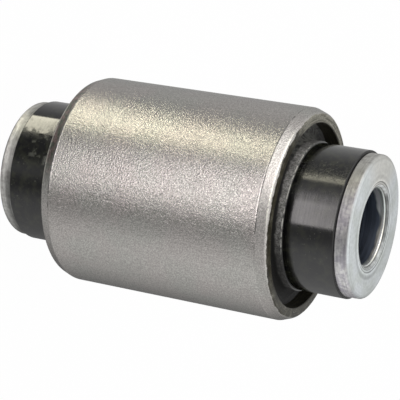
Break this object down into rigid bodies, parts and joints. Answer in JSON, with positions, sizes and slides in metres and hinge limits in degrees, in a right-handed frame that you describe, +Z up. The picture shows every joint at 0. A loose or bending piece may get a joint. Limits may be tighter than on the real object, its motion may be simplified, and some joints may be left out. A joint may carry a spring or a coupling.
{
  "type": "rubber metal bush",
  "caption": "Bonded bush: a blasted steel outer sleeve, a rubber body with a thin skin and lip, and a longer thick-walled inner sleeve with a bolt bore.",
  "frame": {"origin": "middle of the inner sleeve's lower end face, on which the bush stands", "axes": "+Z up the bore; the bush is round about Z and its two ends are alike"},
  "size_m": [0.045, 0.045, 0.081],
  "materials": {
    "zinc_steel": "zinc plated, satin",
    "black_rubber": "moulded, glossy on the skin and matt on the lip",
    "blasted_steel": "shot blasted, fine speckle"
  },
  "bodies": {
    "root": {"inner_sleeve": "zinc_steel", "rubber_body": "black_rubber", "outer_sleeve": "blasted_steel"}
  },
  "joints": []
}
